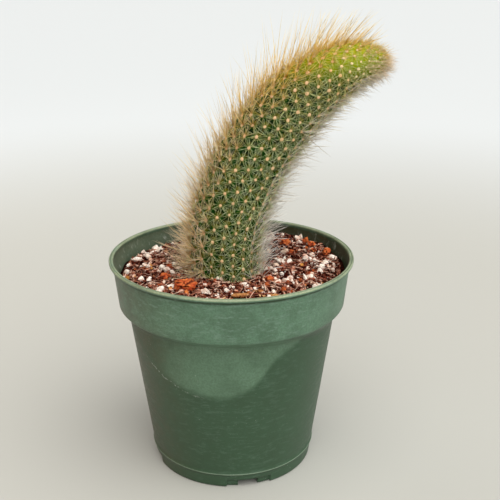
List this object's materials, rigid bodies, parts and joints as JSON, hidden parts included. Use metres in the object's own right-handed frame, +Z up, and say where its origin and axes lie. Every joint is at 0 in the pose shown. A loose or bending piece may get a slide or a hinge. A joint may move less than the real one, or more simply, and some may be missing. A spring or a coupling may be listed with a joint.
{
  "type": "potted monkey tail cactus",
  "caption": "Curved columnar cactus with rows of bristly areoles, standing in gritty potting mix with lava rock and perlite, in a round tapered nursery pot.",
  "frame": {"origin": "centre of the pot's base, on the surface that it stands on", "axes": "+Z up; -Y faces the viewer of the picture; +X is the way the column curves over"},
  "size_m": [0.1148, 0.104, 0.1801],
  "materials": {
    "pot_green": "satin",
    "potting_mix": "matte",
    "cactus_skin": "matte",
    "lava_rock": "matte",
    "perlite": "matte",
    "bark_chip": "matte",
    "charcoal": "matte",
    "areole_felt": "matte",
    "golden_bristles": "satin",
    "pale_spines": "satin"
  },
  "bodies": {
    "root": {"nursery_pot": "pot_green", "potting_mix": "potting_mix", "cactus_stem": "cactus_skin", "lava_rock_01": "lava_rock", "lava_rock_02": "lava_rock", "lava_rock_03": "lava_rock", "lava_rock_04": "lava_rock", "lava_rock_05": "lava_rock", "lava_rock_06": "lava_rock", "lava_rock_07": "lava_rock", "lava_rock_08": "lava_rock", "lava_rock_09": "lava_rock", "lava_rock_10": "lava_rock", "perlite_01": "perlite", "perlite_02": "perlite", "perlite_03": "perlite", "perlite_04": "perlite", "perlite_05": "perlite", "perlite_06": "perlite", "perlite_07": "perlite", "perlite_08": "perlite", "perlite_09": "perlite", "perlite_10": "perlite", "perlite_11": "perlite", "perlite_12": "perlite", "bark_chip_01": "bark_chip", "bark_chip_02": "bark_chip", "bark_chip_03": "bark_chip", "bark_chip_04": "bark_chip", "charcoal_01": "charcoal"}
  },
  "joints": []
}
